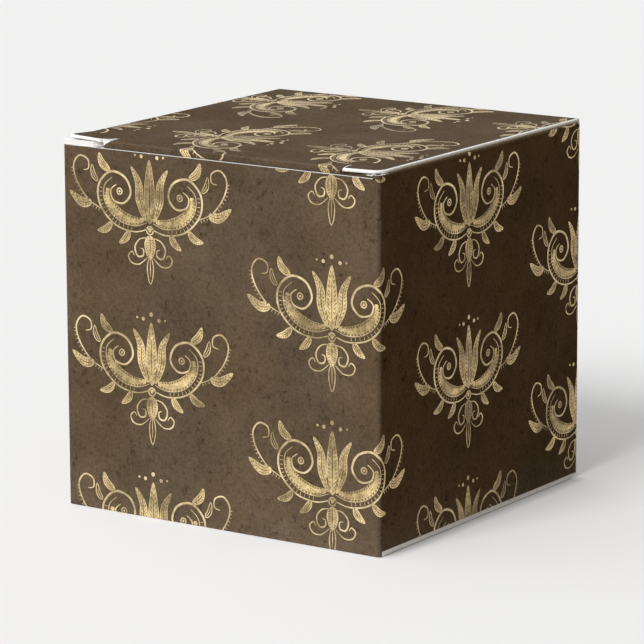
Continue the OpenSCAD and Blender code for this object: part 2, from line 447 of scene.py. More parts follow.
def all_creases():
    """Every crease that turns: its shape, how far the print goes round it, and its two bodies."""
    lid_z, floor_z = Z * LID_FOLD_Z, Z * BOTTOM_FOLD_Z
    reach = HALF_BOX - CORNER_R
    lean = SQUARE + TUCK_LEAN
    fully = math.radians(200)

    def of_dust_flaps(level, fold_z, panel_dir, print_to):
        return {f"{level}_{side}_crease": (
            Crease(out * FOLD_AXIS + Z * fold_z, Y, -reach, reach, panel_dir, out, SQUARE), print_to,
            "root", f"{level}_dust_{side}") for side, out in (("left", -X), ("right", X))}

    return {
        "lid_back_crease": (
            Crease(Y * FOLD_AXIS + lid_z, X, -reach, LID_HALF, -Z, Y, SQUARE), fully, "root", "lid"),
        "lid_front_crease": (
            Crease(-Y * TUCK_FOLD_Y + lid_z, X, -SLIT_X, SLIT_X, Y, Z, lean), fully, "lid", "lid_tuck"),
        **of_dust_flaps("top", TOP_FLAP_FOLD_Z, -Z, math.radians(78)),
        "bottom_front_crease": (
            Crease(-Y * FOLD_AXIS + floor_z, X, -reach, reach, Z, -Y, SQUARE), fully, "root", "bottom"),
        "bottom_back_crease": (
            Crease(Y * TUCK_FOLD_Y + floor_z, X, -SLIT_X, SLIT_X, -Y, -Z, lean), fully,
            "bottom", "bottom_tuck"),
        **of_dust_flaps("bottom", BOTTOM_FLAP_FOLD_Z, Z, math.radians(4)),
    }


CREASES = all_creases()


# Gold ornament. Every stroke is a flat ribbon along a spine; places are in mm on the printed sheet

INK_LINE, INK_FILL, INK_VEIN = 0, 1, 2
INK_TOPS = 0.018 * MM, 0.013 * MM, 0.021 * MM
INK_DEPTH = 0.028 * MM
# Half widths of drawn lines and strokes, in mm
FINE_LINE, LEAF_EDGE, LEAF_VEIN = 0.12, 0.075, 0.06
STROKE, STROKE_SLANT = (0.05, 0.025), 0.6
# A leaf wider than this is engraved
ENGRAVED_FROM = 0.42


def arc(turns, radius, x=0.0, y=0.0):
    """Points of an arc round a spot."""
    return [(x + radius * math.cos(turn), y + radius * math.sin(turn)) for turn in turns]


def smooth_run(points, steps=6):
    """Points along a smooth curve through the given ones."""
    knots = [Vector((x, y, 0)) for x, y in points]
    run = [knots[0]]
    for i, (start, end) in enumerate(zip(knots, knots[1:])):
        before, after = knots[max(i - 1, 0)], knots[min(i + 2, len(knots) - 1)]
        run += interpolate_bezier(start, start + (end - before) / 6, end - (after - start) / 6, end, steps)[1:]
    return run


def across(run, i):
    """Unit vector to the left of a run of points at one of them."""
    ahead = (run[min(i + 1, len(run) - 1)] - run[max(i - 1, 0)]).normalized()
    return Vector((-ahead.y, ahead.x, 0))


def ribbon(run, half_widths, ink):
    """A flat strip of ink along a run of points."""
    strip = grid(len(run) - 1)
    for i, (point, half) in enumerate(zip(run, half_widths)):
        for row, side in enumerate((-1, 1)):
            edge = (point + across(run, i) * half * side) * MM
            strip.data.vertices[i + row * len(run)].co = (edge.x, edge.y, INK_TOPS[ink])
    finish_with(strip, *GOLD)
    for face in strip.data.polygons:
        face.material_index = ink
    return strip


def swelling(run, half, thin=0.4):
    """Half widths of a drawn line, thinner at both ends."""
    return [half * (thin + (1 - thin) * math.sin(math.pi * i / (len(run) - 1))) for i in range(len(run))]


def line(points, half=FINE_LINE):
    run = smooth_run(points)
    return [ribbon(run, swelling(run, half), INK_LINE)]


def engraving(run, widths, inner, outer):
    """Fine dark strokes on both sides of a filled form, between two parts of its width."""
    strips = []
    for i in range(2, len(run) - 2):
        slant = (run[i + 1] - run[i]) * STROKE_SLANT
        for side in (-1, 1):
            away = across(run, i) * widths[i] * side
            stroke = [run[i] + away * inner, run[i] + away * outer + slant]
            strips.append(ribbon(stroke, STROKE, INK_VEIN))
    return strips


def leaf(points, half, filled=True):
    """A pointed leaf along its spine: outline, stippled fill and a dark vein."""
    run = smooth_run(points)
    last = len(run) - 1
    widths = [half * math.sin(math.pi * (i / last) ** 0.8) ** 0.8 for i in range(last)] + [0.0]
    strips = [ribbon(run, widths, INK_FILL)] if filled else []
    for side in (-1, 1):
        edge = [point + across(run, i) * width * side for i, (point, width) in enumerate(zip(run, widths))]
        strips.append(ribbon(edge, swelling(edge, LEAF_EDGE, 0.7), INK_LINE))
    vein = run[len(run) // 6:-len(run) // 4]
    strips.append(ribbon(vein, swelling(vein, LEAF_VEIN), INK_VEIN if filled else INK_LINE))
    return strips + (engraving(run, widths, 0.45, 0.85) if filled and half > ENGRAVED_FROM else [])


def gold_dot(x, y, radius):
    """A round dot of gold."""
    steps = 8
    turns = [math.pi * i / steps for i in range(steps + 1)]
    run = [Vector((x - radius * math.cos(turn), y, 0)) for turn in turns]
    return [ribbon(run, [radius * math.sin(turn) + 0.005 for turn in turns], INK_LINE)]


def ring(x, y, radius, half=0.09):
    turns = [math.tau * i / 16 for i in range(17)]
    run = [Vector((*point, 0)) for point in arc(turns, radius, x, y)]
    return [ribbon(run, [half] * len(run), INK_LINE)]


def hatching(points, inner, outer):
    """Short engraved strokes that stand across a curve."""
    run = smooth_run(points)
    strips = []
    for i in range(1, len(run) - 1):
        side = across(run, i)
        strips.append(ribbon([run[i] + side * inner, run[i] + side * outer], STROKE, INK_LINE))
    return strips


SCROLL = [(0, -2.2), (2.6, -2.9), (5.8, -2.2), (8.2, 0.2), (8.4, 3.0), (6.4, 4.9), (4.0, 4.3), (3.1, 2.3),
          (4.3, 0.8), (6.0, 1.1), (6.4, 2.4), (5.5, 3.2)]
INNER_SCROLL = [(0.5, -1.5), (2.6, -2.1), (5.3, -1.5), (7.3, 0.5), (7.5, 2.8), (6.2, 4.1)]
BRANCH = [(8.0, -0.3), (10.2, 0.8), (12.0, 3.0), (12.6, 5.2), (11.6, 6.6), (10.2, 6.2), (10.1, 5.0),
          (11.0, 4.7)]


def half_ornament():
    """Right half of the ornament: scroll, branch, leaves and curls."""
    strips = line(SCROLL, 0.16) + line(INNER_SCROLL, 0.08) + line(BRANCH)
    strips += hatching(SCROLL[1:5], 0.2, 0.62)
    strips += hatching(BRANCH[:4], -0.15, -0.5)
    crescent = smooth_run([(1.0, -1.2), (3.0, -1.4), (5.2, -0.7), (6.8, 0.9), (6.9, 2.6)])
    widths = swelling(crescent, 0.82, 0.3)
    strips.append(ribbon(crescent, widths, INK_FILL))
    strips += engraving(crescent, widths, -0.9, -0.55) + engraving(crescent, widths, 0.6, 0.95)
    strips += leaf([(9.6, 0.5), (11.3, 0.3), (13.3, 1.7)], 0.6)
    strips += leaf([(3.4, -2.9), (4.0, -3.9), (5.1, -4.7)], 0.45)
    strips += leaf([(6.3, -2.0), (7.3, -3.0), (8.7, -3.3)], 0.45)
    strips += leaf([(6.5, 5.0), (7.8, 5.9), (8.3, 7.3)], 0.5)
    strips += leaf([(8.6, 3.4), (9.3, 4.3), (9.5, 5.6)], 0.35, filled=False)
    strips += leaf([(0.6, -1.3), (1.6, 1.4), (1.8, 3.8), (3.0, 5.9)], 0.6)
    strips += line([(0.4, -3.5), (1.7, -3.8), (2.5, -4.9), (2.1, -6.1), (1.2, -6.0), (1.1, -5.2), (1.6, -5.0)])
    strips += line([(0.5, -6.2), (1.8, -7.2), (3.1, -7.1), (3.6, -6.2), (3.0, -5.6), (2.6, -6.1)], 0.1)
    strips += ring(4.95, 2.35, 0.42) + gold_dot(4.95, 2.35, 0.18)
    strips += gold_dot(1.3, 7.4, 0.26) + gold_dot(2.3, 7.5, 0.16)
    return join("half ornament", strips)


def ornament():
    """The whole figure, flat on the sheet about its middle."""
    right_half = half_ornament()
    pick(right_half)
    bpy.ops.object.duplicate()
    left_half = in_hand()
    place(left_half, lambda point: Vector((-point.x, point.y, point.z)))
    middle = leaf([(0, -1.6), (0, 1.2), (0, 4.0), (0, 7.0)], 0.85)
    middle += leaf([(0, -3.2), (0, -4.8), (0, -6.4)], 0.85)
    middle += leaf([(0, -6.2), (0, -8.0), (0, -9.8)], 0.5, filled=False)
    middle += ring(0, -2.5, 0.55) + gold_dot(0, -2.5, 0.25) + gold_dot(0, 8.1, 0.3)
    return join("ornament", [right_half, left_half] + middle)


ORNAMENT = ornament()
ORNAMENT_HALF, ORNAMENT_LOW, ORNAMENT_HIGH = 14.0, -10.2, 8.8
COLUMN_STEP, ROW_STEP = 29.03, 22.0


def staggered(a, b, columns, rows, way):
    """Spots in columns and rows, counted from one spot; every second column is half a row off."""
    return [(a + COLUMN_STEP * column * way, b + ROW_STEP * row - way * (0, ROW_STEP / 2)[column % 2])
            for column in columns for row in rows]


def spread(name, spots, low, high, bends=(), inks=GOLD):
    """Copies of the ornament at spots of the sheet, cut to the area between two corners; none if it is bare."""
    copies = []
    for a, b in spots:
        if (a + ORNAMENT_HALF > low[0] and a - ORNAMENT_HALF < high[0]
                and b + ORNAMENT_HIGH > low[1] and b + ORNAMENT_LOW < high[1]):
            pick(ORNAMENT)
            bpy.ops.object.duplicate()
            copies.append(in_hand())
            offset = Vector((a, b, 0)) * MM
            place(copies[-1], lambda point: point + offset)
    if not copies:
        return None
    sheet = join(name, copies)
    cuts = [(low[0], X, "clear_inner"), (high[0], X, "clear_outer"),
            (low[1], Y, "clear_inner"), (high[1], Y, "clear_outer")]
    cuts += [(bend, direction, None) for bend, direction in bends]
    for at, direction, cleared in cuts:
        away = {cleared: True} if cleared else {}
        reshape(lambda: bpy.ops.mesh.bisect(plane_co=direction * at * MM, plane_no=direction,
                                            threshold=1e-9, **away))
    thicken(-INK_DEPTH)
    if not sheet.data.polygons:
        bpy.ops.object.delete()
        return None
    for i, ink in enumerate(inks):
        sheet.data.materials[i] = ink
    return sheet


def lay(sheet, where):
    """Lay the cut ornament on its panel; the function takes its place in mm and its height in metres."""
    place(sheet, lambda point: where(point.x / MM, point.y / MM, point.z))
    pick(sheet)
    outward_faces()


# Sheet of the walls: a runs round the box from the middle of the front, b is the height
WALL_SPOTS = staggered(-11, -2, range(-3, 6), range(-3, 4), 1)
WALL_STEP, WALL_FLAT, HALF_SIDE = 50.8, 24.85, 25.4
SIDE_FOOT, SIDE_HEAD = 1.04, 49.76
# For each wall: its place in the strip, way out, way along, and the ends and heights of its print
WALLS = {
    "left": (-1, -X, -Y, (-25.36, HALF_SIDE), (SIDE_FOOT, SIDE_HEAD)),
    "front": (0, -Y, X, (-HALF_SIDE, HALF_SIDE), (0.54, 49.85)),
    "right": (1, X, Y, (-HALF_SIDE, HALF_SIDE), (SIDE_FOOT, SIDE_HEAD)),
    "back": (2, Y, -X, (-HALF_SIDE, 24.3), (0.98, 50.26)),
}


def on_wall(order, out, across_dir, sharp_start):
    """Where a spot of the walls' sheet lies on one wall, with the rounded folds at its ends."""
    def where(a, b, height):
        reach = a - WALL_STEP * order
        past = abs(reach) - WALL_FLAT
        if past <= 0 or (sharp_start and reach < 0):
            return across_dir * reach * MM + out * (HALF_BOX + height) + Z * b * MM
        turn = past / (HALF_SIDE - WALL_FLAT) * math.radians(45)
        centre = (across_dir * math.copysign(1, reach) + out) * WALL_FLAT * MM
        way = across_dir * math.copysign(math.sin(turn), reach) + out * math.cos(turn)
        return centre + way * (CORNER_R + height) + Z * b * MM
    return where


def print_gold(name, boxes, spots, where, body, bends=()):
    """Print the ornament on the boxed areas of one panel."""
    sheets = [spread(name, spots, low, high, bends) for low, high in boxes]
    gold = join(name, [sheet for sheet in sheets if sheet])
    lay(gold, where)
    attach(gold, body)


# The print is cut here for the rounded folds, from where each fold starts
FOLD_CUTS = (0.0, 0.14, 0.28, 0.42)

for wall, (order, out, across_dir, (start, end), (low, high)) in WALLS.items():
    middle = WALL_STEP * order
    bends = [(middle + side * (WALL_FLAT + cut), X) for side in (-1, 1) for cut in FOLD_CUTS]
    print_gold(f"gold_on_{wall}_wall", [((middle + start, low), (middle + end, high))], WALL_SPOTS,
               on_wall(order, out, across_dir, wall == "left"), "root", bends)


# Sheet of the lid: a runs towards the front, b to the right
LID_SPOTS = staggered(13.5, -28, (-1, 0, 1), range(4), -1)
LAP = CREASE_LAP / MM
SQUARE_ARC = SQUARE * HALF_CARD / MM
TUCK_ARC = (SQUARE + TUCK_LEAN) * HALF_CARD / MM
# Where the panels and tucks start and end on their sheets; their folds' axes lie this far from the middle
FOLD_AT, TUCK_AT, FOOT_AT = 25.2, 24.7, 0.2
LID_BACK, LID_FRONT = FOLD_AT - LAP, TUCK_AT - LAP
TUCK_TOP = TUCK_AT + TUCK_ARC
FOOT_TOP = FOOT_AT + LAP
FLOOR_ZERO = FOOT_AT - SQUARE_ARC - FOLD_AT
FLOOR_START, FLOOR_END = FLOOR_ZERO + LID_BACK, FLOOR_ZERO - LID_FRONT
FOOT_TUCK_TOP = FLOOR_END - LAP - TUCK_ARC
TAB_X, TAB_BACK = 18.45, 19.9
LID_EDGE, FLOOR_EDGE = 24.86, 24.9
# Printed areas of a tuck, from its fold down: half width, start and end
TUCK_AREAS = [(18.7, LAP, 1.1), (23.6, 1.1, 8.0), (20.5, 8.0, 11.2)]


def on_crease(crease, run, height):
    """Offset from a crease's axis of a spot this far, in mm, past the start of its bent card."""
    out, bent = CREASE_OUTER + height, crease.bend * HALF_CARD / MM
    if run < LAP:
        return crease.panel_dir * (LAP - run) * MM + crease.panel_out * out
    if run < LAP + bent:
        return crease.out_at((run - LAP) / bent * crease.bend) * out
    return crease.flap_dir() * (run - LAP - bent) * MM + crease.out_at(crease.bend) * out


def on_tuck(crease, along, down, height):
    """Where a spot on a tuck lies, this far along it and down from its fold in mm."""
    return (crease.centre + X * along * MM + crease.flap_dir() * down * MM
            + crease.out_at(crease.bend) * (HALF_CARD + height))


def tuck_boxes(top):
    """Printed areas of a tuck whose fold lies at this place of the sheet."""
    return [(half, top + start, top + end) for half, start, end in TUCK_AREAS]


tuck_fold, foot_tuck_fold = CREASES["lid_front_crease"][0], CREASES["bottom_back_crease"][0]

print_gold("gold_on_lid",
           [((-LID_BACK, -TAB_X), (LID_FRONT, TAB_X)), ((-LID_BACK, TAB_X), (TAB_BACK, LID_EDGE)),
            ((-LID_BACK, -LID_EDGE), (TAB_BACK, -TAB_X))],
           LID_SPOTS, lambda a, b, height: Vector((b * MM, -a * MM, BOX_HEIGHT + height)), "lid")
print_gold("gold_on_lid_tuck", [((top, -half), (low, half)) for half, top, low in tuck_boxes(TUCK_TOP)],
           LID_SPOTS, lambda a, b, height: on_tuck(tuck_fold, b, a - TUCK_TOP, height), "lid_tuck")
print_gold("gold_on_bottom",
           [((-TAB_X, FLOOR_END), (TAB_X, FLOOR_START)),
            ((TAB_X, FLOOR_ZERO - TAB_BACK), (FLOOR_EDGE, FLOOR_START)),
            ((-FLOOR_EDGE, FLOOR_ZERO - TAB_BACK), (-TAB_X, FLOOR_START))],
           WALL_SPOTS, lambda a, b, height: Vector((a * MM, (FLOOR_ZERO - b) * MM, -height)), "bottom")
print_gold("gold_on_bottom_tuck",
           [((-half, -low), (half, -top)) for half, top, low in tuck_boxes(-FOOT_TUCK_TOP)],
           WALL_SPOTS, lambda a, b, height: on_tuck(foot_tuck_fold, a, FOOT_TUCK_TOP - b, height),
           "bottom_tuck")

# Half lengths of the creases' print, and its ends and heights at the side walls' folds
LONG_HALF, SHORT_HALF = 24.8, 18.75
NEAR, FAR = WALL_STEP - LONG_HALF, WALL_STEP + LONG_HALF
FOOT_CUT, HEAD_CUT = 0.70, 50.37
# Run round a crease with both its laps
SQUARE_RUN, TUCK_RUN = 2 * LAP + SQUARE_ARC, 2 * LAP + TUCK_ARC
# For each crease: the sheet's spots on it, and the low and high corner of its area
CREASE_PRINT = {
    "lid_back_crease": (LID_SPOTS, (-LID_BACK - SQUARE_RUN, -LONG_HALF), (-LID_BACK, 25.0)),
    "lid_front_crease": (LID_SPOTS, (LID_FRONT, -SHORT_HALF), (LID_FRONT + TUCK_RUN, SHORT_HALF)),
    "bottom_front_crease": (WALL_SPOTS, (-LONG_HALF, FLOOR_START), (LONG_HALF, FOOT_TOP)),
    "bottom_back_crease": (WALL_SPOTS, (-SHORT_HALF, FLOOR_END - TUCK_RUN), (SHORT_HALF, FLOOR_END)),
    "top_right_crease": (WALL_SPOTS, (NEAR, SIDE_HEAD), (FAR, HEAD_CUT)),
    "top_left_crease": (WALL_SPOTS, (-FAR, SIDE_HEAD), (-NEAR, HEAD_CUT)),
    "bottom_right_crease": (WALL_SPOTS, (NEAR, FOOT_CUT), (FAR, SIDE_FOOT)),
    "bottom_left_crease": (WALL_SPOTS, (-FAR, FOOT_CUT), (-NEAR, SIDE_FOOT)),
}


def crease_run(name, a, b):
    """How far along a crease and round it a spot of the sheet lies."""
    low, high = CREASE_PRINT[name][1:]
    if name.startswith("lid"):
        return b, a - low[0]
    along = (a - (low[0] + high[0]) / 2) * (-1 if "left" in name else 1)
    return along, b - low[1] if name.startswith("top") else high[1] - b


def gold_over(name, crease):
    """The ornament's bits that cross a crease."""
    spots, low, high = CREASE_PRINT[name]
    axis = 0 if name.startswith("lid") else 1
    bends = [(low[axis] + (high[axis] - low[axis]) * i / 8, (X, Y)[axis]) for i in range(1, 8)]
    gold = spread(name + "_gold", spots, low, high, bends, GOLD_ON_CREASE)
    if gold:
        def where(a, b, height):
            along, run = crease_run(name, a, b)
            return crease.centre + crease.along * along * MM + on_crease(crease, run, height)
        lay(gold, where)
    return gold


# Raw board shows where the fold pulls the left slit open: left and right edge, and how far round the fold
OPEN_SLIT = [(-18.5, -18.15, -1.5), (-18.7, -18.02, -0.6), (-18.9, -17.9, 0.34), (-18.9, -17.9, 0.42),
             (-18.9, -17.95, 0.5), (-18.9, -18.05, 0.58), (-18.9, -18.17, 0.66), (-18.9, -18.5, 0.85),
             (-18.9, -18.86, 1.1)]
WEDGE_TOP, WEDGE_DEPTH = 0.02, 0.03


def open_slit(crease):
    """A thin wedge of raw board laid over the fold of the lid's tuck at its left end."""
    wedge = grid(len(OPEN_SLIT) - 1)
    for i, (left, right, run) in enumerate(OPEN_SLIT):
        wedge.data.vertices[i].co = (left, run, WEDGE_TOP)
        wedge.data.vertices[i + len(OPEN_SLIT)].co = (right, run, WEDGE_TOP)
    thicken(-WEDGE_DEPTH)
    place(wedge, lambda point: crease.centre + X * point.x * MM + on_crease(crease, point.y, point.z * MM))
    outward_faces()
    finish_with(wedge, RAW_ON_CREASE)
    return wedge


for name, (crease, print_to, panel, flap) in CREASES.items():
    parts = [crease_piece(name, crease, print_to), gold_over(name, crease)]
    if name == "lid_front_crease":
        parts.append(open_slit(crease))
    bent = join(name, [part for part in parts if part])
    bend_with(bent, crease, panel, flap)

bpy.data.objects.remove(ORNAMENT)


# Lock lips of the dust flaps, in the slits beside each tuck

def rounded(outline, radius, steps=4):
    """The outline with each corner rounded off."""
    points = [Vector((x, y, 0)) for x, y in outline]
    made = []
    for before, corner, after in zip(points[-1:] + points[:-1], points, points[1:] + points[:1]):
        start = corner + (before - corner).normalized() * radius
        end = corner + (after - corner).normalized() * radius
        for i in range(steps + 1):
            t = i / steps
            bow = start.lerp(corner, t).lerp(corner.lerp(end, t), t)
            made.append((bow.x, bow.y))
    return made


# Where a lip leaves its flap, how far it reaches and how its corners are rounded
LIP_ROOT, LIP_REACH, LIP_ROUNDING = 23.3 * MM, 2.0 * MM, 0.12 * MM
LIP_START, LIP_END = (24.95, -23.32), (19.1, -23.32)


def lock_lip(name, front, flap, side, level, turned, spring=0.0):
    """The part of a dust flap that reaches over the tuck's end to the wall; turned swaps front and back.

    The top of its front edge bulges up by spring, in mm.
    """
    outline = [(x * side * MM, y * turned * MM) for x, y in [LIP_START] + front + [LIP_END]]
    piece = plate(name, rounded(outline, LIP_ROUNDING), CARD)

    def bulge(point):
        return spring * MM * (point.z / CARD) * (abs(point.y) - LIP_ROOT) / LIP_REACH

    place(piece, lambda point: point + Z * (level - HALF_CARD + bulge(point)))
    finish_with(piece, RAW_EDGE, WHITE_INSIDE)
    for face in piece.data.polygons:
        face.material_index = 1 if abs(face.normal.z) > LOOKS_OUT else 0
    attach(piece, flap)


LIP_CORNER = [(24.95, -24.86), (25.3, -24.9), (25.3, -25.3)]
FULL_LIP = LIP_CORNER + [(20.3, -25.3), (19.3, -24.2)]
SHORT_LIP = LIP_CORNER + [(24.6, -25.3), (23.4, -24.75), (21.6, -24.2)]
NARROW_LIP = [(24.95, -24.95), (24.5, -24.75), (23.3, -24.35), (21.6, -24.1)]
lock_lip("top_left_lock_lip", FULL_LIP, "top_dust_left", -1, TOP_FLAP_FOLD_Z, 1, spring=0.36)
lock_lip("top_right_lock_lip", NARROW_LIP, "top_dust_right", 1, TOP_FLAP_FOLD_Z, 1)
lock_lip("bottom_left_lock_lip", SHORT_LIP, "bottom_dust_left", -1, BOTTOM_FLAP_FOLD_Z, -1)
lock_lip("bottom_right_lock_lip", SHORT_LIP, "bottom_dust_right", 1, BOTTOM_FLAP_FOLD_Z, -1)


# Outline of the shoulder: along the lid's front and down from its fold
SHOULDER = [(18.6, 1.05), (18.6, 0.42), (22.8, 0.42), (24.2, 0.5), (24.85, 0.66), (24.85, 1.05)]
SHOULDER_CARD, SHOULDER_SUNK, SHOULDER_ROUNDING = CARD - 0.02 * MM, CARD - 0.03 * MM, 0.1 * MM
# Up to here its cut top is coloured in the print's brown, as painted shade under the lid's edge
PAINTED_SHADE_TO = 22.9 * MM


def tuck_shoulder():
    """The shoulder beside the lid's right slit, where the tuck's printed end rides up over the dust flap."""
    outline = rounded([(x * MM, -down * MM) for x, down in SHOULDER], SHOULDER_ROUNDING)
    piece = plate("lid_tuck_right_shoulder", outline, SHOULDER_CARD)
    place(piece, lambda point: on_tuck(tuck_fold, point.x / MM, -point.y / MM, point.z - SHOULDER_SUNK))
    finish_with(piece, RAW_EDGE, PRINT, WHITE_INSIDE)
    out, up = tuck_fold.out_at(tuck_fold.bend), -tuck_fold.flap_dir()
    for face in piece.data.polygons:
        facing = face.normal.dot(out)
        # Cut top faces nearer the middle than that take the print's brown: painted shade
        painted_shade = face.normal.dot(up) > LOOKS_OUT and face.center.x < PAINTED_SHADE_TO
        face.material_index = 1 if facing > LOOKS_OUT or painted_shade else 2 if facing < -LOOKS_OUT else 0
    pick(piece)
    outward_faces()
    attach(piece, "lid_tuck")


tuck_shoulder()


# Cut edges of the lid, pressed soft by the die, so that raw board shows a little round their top

FOOT_SECTION = [(-0.05, -0.68), (0.22, -0.68), (0.30, -0.60), (0.31, -0.40), (0.28, -0.20), (0.20, -0.06),
                (0.02, -0.01), (-0.20, -0.02), (-0.24, -0.05), (-0.05, -0.3)]
EDGE_SECTION = [(-0.05, -0.39), (0.10, -0.40), (0.16, -0.33), (0.17, -0.18), (0.13, -0.06), (0.03, 0.008),
                (-0.14, 0.016), (-0.22, 0.010), (-0.24, -0.05), (-0.05, -0.2)]
# In the slit, nearer the middle than this, the bead is finer
SLIT_FROM, SLIT_FINENESS = 20.3, 0.7


def soft_edge(name, path, body, curl=None, turned=1):
    """A bead of raw board along a cut edge of the lid or, turned over, of the bottom; finer in the slit.

    It follows the curl of a tab, or else stands as proud as the print.
    """
    run = [Vector((x, y * turned, 0)) for x, y in path]
    section = EDGE_SECTION if turned > 0 else FOOT_SECTION
    bead = grid(len(run) - 1, len(section))
    bead.name = bead.data.name = name
    for i, point in enumerate(run):
        out = -across(run, i) * turned
        full = 1.0 if abs(point.x) > SLIT_FROM else SLIT_FINENESS
        for row, (reach, rise) in enumerate(section + section[:1]):
            spot = point + out * reach * full
            height = rise + (curl(spot) if curl else INK / MM) + (BOX_HEIGHT / MM if turned > 0 else 0.0)
            bead.data.vertices[i + row * len(run)].co = (spot + Z * height * turned) * MM
    reshape(lambda: bpy.ops.mesh.remove_doubles(threshold=1e-7), lambda: bpy.ops.mesh.fill_holes(sides=0))
    outward_faces()
    finish_with(bead, RAW_EDGE)
    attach(bead, body)


# The left tab curls up from a line across it
TAB_CURL = math.radians(5)
CURL_START, CURL_END = Vector((-18.4, -22.1, 0)), Vector((-25.1, -20.1, 0))


def left_tab_lift(spot):
    """How far the curled left tab stands above the lid at a spot, in mm."""
    away = -(CURL_END - CURL_START).normalized().cross(Z)
    return max(0.0, (spot - CURL_START).dot(away)) * math.tan(TAB_CURL)


# The tuck sits a little right, so the left tab reaches over its end and the right one starts later
TAB_SLITS = {
    1: [(20.2, -25.17), (19.85, -25.2), (19.7, -25.08), (19.6, -24.8), (19.45, -24.3), (19.3, -23.8),
        (19.2, -23.2), (19.28, -22.75)],
    -1: [(19.9, -25.1), (19.2, -24.95), (18.75, -24.8), (18.5, -24.45), (18.35, -23.9), (18.2, -23.3),
         (18.1, -22.9)],
}

# The lid's side edge, the rounded corner of its tab and the slope of the tab's front, in mm
EDGE_X, EDGE_BACK, EDGE_STEP = 25.1, 24.9, 4.0
TAB_CORNER_X, TAB_CORNER_Y, TAB_CORNER_R, TAB_TURN = 23.3, -22.995, 1.8, math.radians(-83.4)
TAB_FRONT, TAB_SLOPE = -24.6, 0.1148


def tab_path(side):
    """Edge of the lid from its back corner along the side and round the tab's corner to the slit."""
    straight = [(EDGE_X, EDGE_BACK - EDGE_STEP * i) for i in range(12)]
    turns = [TAB_TURN * i / 8 for i in range(9)]
    corner = arc(turns, TAB_CORNER_R, TAB_CORNER_X, TAB_CORNER_Y)
    front = [(x, TAB_FRONT - TAB_SLOPE * (EDGE_X - x)) for x in (22.3, 21.0)]
    return [(x * side, y) for x, y in straight + corner + front + TAB_SLITS[side]]


# Outlines of the printed bits, seen from above
TAB_END = [(-19.1, -22.4), (-18.12, -22.8), (-18.3, -23.7), (-18.45, -24.4), (-18.8, -24.75), (-19.1, -24.8)]
FOLD_LAP = [(18.2, -21.9), (19.1, -21.9), (19.15, -23.2), (19.3, -24.2), (19.62, -25.0), (19.62, -25.36),
            (18.99, -25.36), (18.99, -24.72), (18.2, -24.72)]
TAB_END_CARD, TAB_END_FLOOR = 0.3 * MM, BOX_HEIGHT - 0.29 * MM
FOLD_LAP_FLOOR = BOX_HEIGHT - 0.392 * MM


def printed_bits():
    """Printed board beside the slits: the left tab's end, and the fold that laps the right tab's end."""
    left = plate("lid_left_tab_end", [(x * MM, y * MM) for x, y in TAB_END], TAB_END_CARD)
    place(left, lambda point: point + Z * (TAB_END_FLOOR + left_tab_lift(point / MM) * MM))
    right = plate("lid_right_fold_lap", [(x * MM, y * MM) for x, y in FOLD_LAP], CARD)
    place(right, lambda point: point + Z * FOLD_LAP_FLOOR)
    for piece in (left, right):
        pick(piece)
        outward_faces()
        finish_with(piece, PRINT, RAW_EDGE)
        for face in piece.data.polygons:
            face.material_index = 1 if face.normal.z < -LOOKS_OUT else 0
        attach(piece, "lid")


soft_edge("lid_right_soft_edge", tab_path(1)[::-1], "lid")
soft_edge("lid_left_soft_edge", tab_path(-1), "lid", left_tab_lift)
printed_bits()
soft_edge("bottom_right_soft_edge", tab_path(1)[::-1], "bottom", turned=-1)
soft_edge("bottom_left_soft_edge", tab_path(-1), "bottom", turned=-1)


# Ends of the upright folds, beyond the walls' cut head and foot: heights and radii in mm

FRONT_FOOT_LOW, BACK_FOOT_LOW, FOOT_HIGH = 0.03, 0.7, 1.0
HEAD_LOW, LEFT_HEAD_HIGH, RIGHT_HEAD_HIGH, BACK_HEAD_HIGH = 49.7, 50.22, 50.38, 50.3
FOLD_OUTER, FOLD_INNER = 0.55, 0.30
# Only faces that look out from the corner this squarely are printed
PRINTED_FROM = 0.8
SIDES = ("left", -1), ("right", 1)


def fold_end(name, side_x, side_y, low, high, end=90, run_on=0.0):
    """A bit of the rounded corner between two heights, from the side's way out to an angle in degrees.

    It may run on straight from there, along the front or back wall.
    """
    steps = 6
    turns = [math.radians(end * i / steps) for i in range(steps + 1)]
    outer, inner = arc(turns, FOLD_OUTER), arc(turns[::-1], FOLD_INNER)
    straight = [(outer[-1][0] - run_on, outer[-1][1]), (inner[0][0] - run_on, inner[0][1])] if run_on else []
    outline = [(side_x * (WALL_FLAT + x) * MM, side_y * (WALL_FLAT + y) * MM)
               for x, y in outer + straight + inner]
    piece = plate(name, outline, (high - low) * MM)
    place(piece, lambda point: point + Z * low * MM)
    finish_with(piece, RAW_EDGE, PRINT)
    middle = Vector((side_x, side_y, 0)) * WALL_FLAT * MM
    for face in piece.data.polygons:
        away = face.center - middle
        away.z = 0
        face.material_index = 1 if face.normal.dot(away.normalized()) > PRINTED_FROM else 0
    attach(piece, "root")


for depth, side_y, foot_low in (("front", -1, FRONT_FOOT_LOW), ("back", 1, BACK_FOOT_LOW)):
    for side, side_x in SIDES:
        fold_end(f"{depth}_{side}_fold_foot", side_x, side_y, foot_low, FOOT_HIGH)
fold_end("front_left_fold_head", -1, -1, HEAD_LOW, LEFT_HEAD_HIGH, end=52)
fold_end("front_right_fold_head", 1, -1, HEAD_LOW, RIGHT_HEAD_HIGH, run_on=0.5)
for side, side_x in SIDES:
    fold_end(f"back_{side}_fold_head", side_x, 1, HEAD_LOW, BACK_HEAD_HIGH)


# Floor, light and camera

FLOOR_SIZE = 8.0
FLOOR_BELOW = 0.03 * MM
